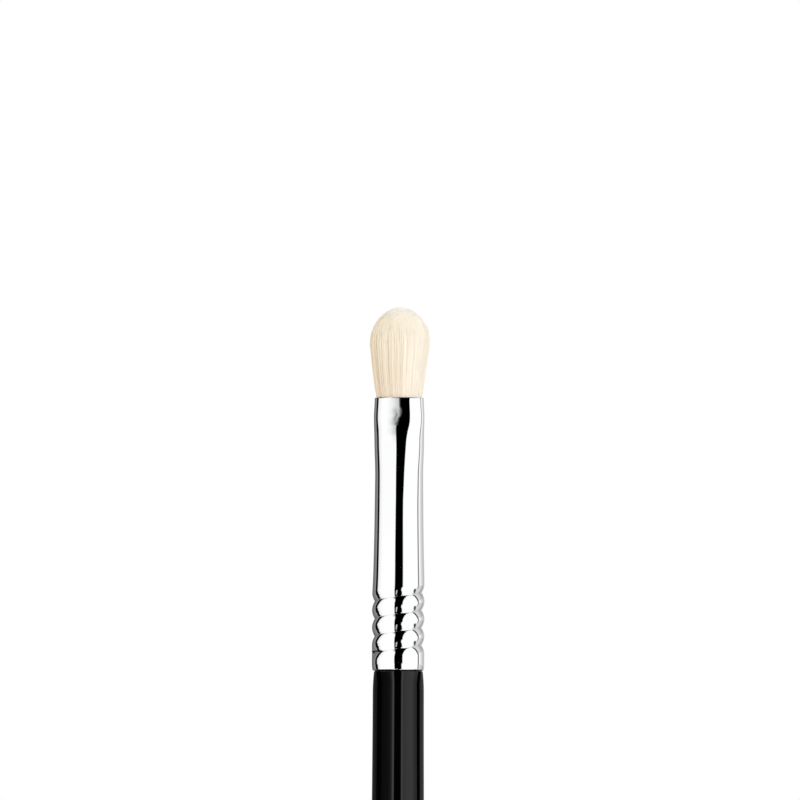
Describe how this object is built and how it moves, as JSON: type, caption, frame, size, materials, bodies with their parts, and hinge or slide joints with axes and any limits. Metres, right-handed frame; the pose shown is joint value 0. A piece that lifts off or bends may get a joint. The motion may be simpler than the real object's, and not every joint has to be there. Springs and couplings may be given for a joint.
{
  "type": "eyeshadow brush",
  "caption": "Slim eyeshadow brush: soft domed cream tuft, bright plated ferrule with a rolled helical crimp and an oval mouth, and a long tapered gloss black wooden handle.",
  "frame": {"origin": "the tip of the handle's tail, on the brush's axis: the bottom centre of the bounding box", "axes": "+Z along the brush, from the tail towards the tuft; +X across the wide side of the ferrule's oval mouth; +Y across its thin side. The picture's camera stands in front, on the -Y side, 20 degrees round towards +X."},
  "size_m": [0.0085, 0.0074, 0.175],
  "materials": {
    "handle_wood": "matte",
    "black_lacquer": "gloss",
    "epoxy_glue": "satin",
    "bright_plating": "polished",
    "rooting_resin": "satin",
    "binding_thread": "matte",
    "soft_bristle": "satin"
  },
  "bodies": {
    "root": {"handle_core": "handle_wood", "lacquer_coat": "black_lacquer", "tenon_glue": "epoxy_glue", "ferrule": "bright_plating", "root_plug": "rooting_resin", "knot_thread": "binding_thread", "bristle_tuft": "soft_bristle"}
  },
  "joints": []
}
